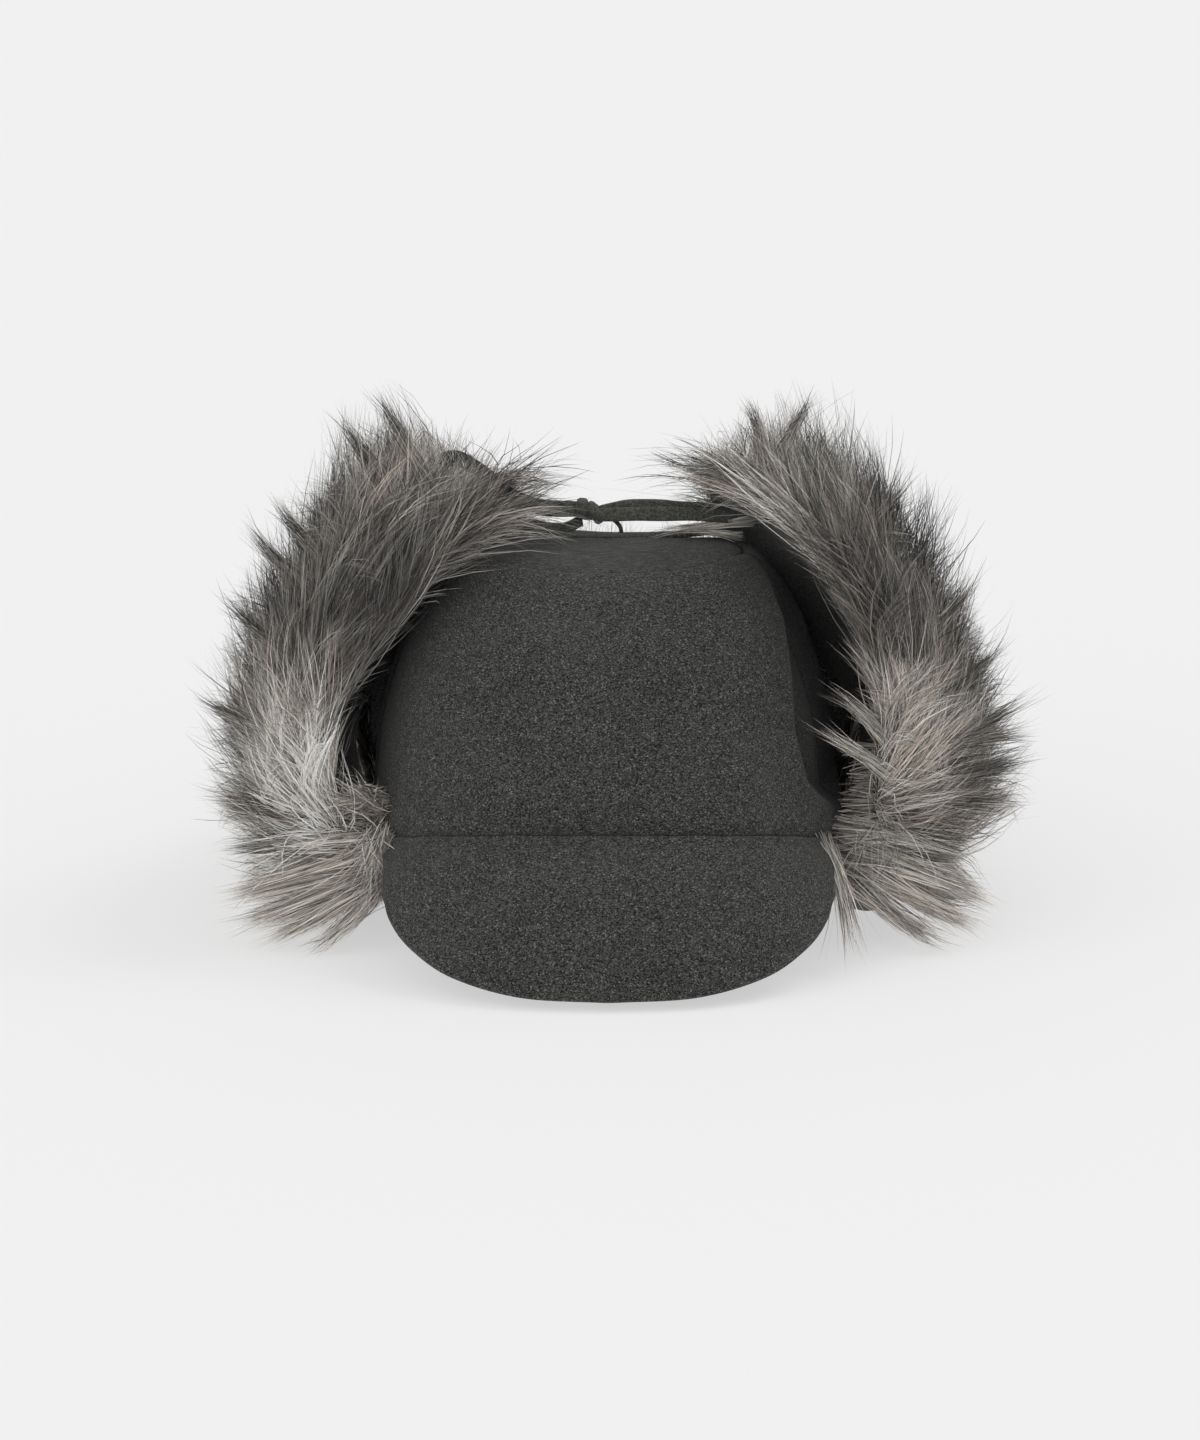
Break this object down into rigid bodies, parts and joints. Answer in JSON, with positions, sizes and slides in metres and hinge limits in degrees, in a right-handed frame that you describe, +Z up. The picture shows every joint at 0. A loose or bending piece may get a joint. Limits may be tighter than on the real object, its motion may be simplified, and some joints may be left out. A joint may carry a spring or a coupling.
{
  "type": "earflap cap",
  "caption": "Soft cloth cap with a D-shaped peak and fur-lined ear and neck flaps turned up round the crown, the ear flaps tied over its top by flat cloth ties.",
  "frame": {"origin": "centre of the footprint, on the surface that the cap rests on", "axes": "+X towards the wearer's left, -Y towards the front of the peak, +Z up"},
  "size_m": [0.3186, 0.3002, 0.1929],
  "materials": {
    "cap_cloth": "matt heather knit",
    "tie_cloth": "matt heather knit",
    "fur": "soft long pile"
  },
  "bodies": {
    "root": {"crown_front": "cap_cloth", "crown_left": "cap_cloth", "crown_right": "cap_cloth", "crown_top": "cap_cloth", "peak": "cap_cloth", "flap_left": "cap_cloth", "flap_right": "cap_cloth", "neck_flap": "cap_cloth", "fur_left": "fur", "fur_right": "fur", "fur_neck": "fur", "tie_right": "tie_cloth", "tie_right_lower": "tie_cloth", "tie_left": "tie_cloth", "tie_loop": "tie_cloth", "tie_under": "tie_cloth", "tie_end": "tie_cloth", "tie_knot": "tie_cloth"}
  },
  "joints": []
}
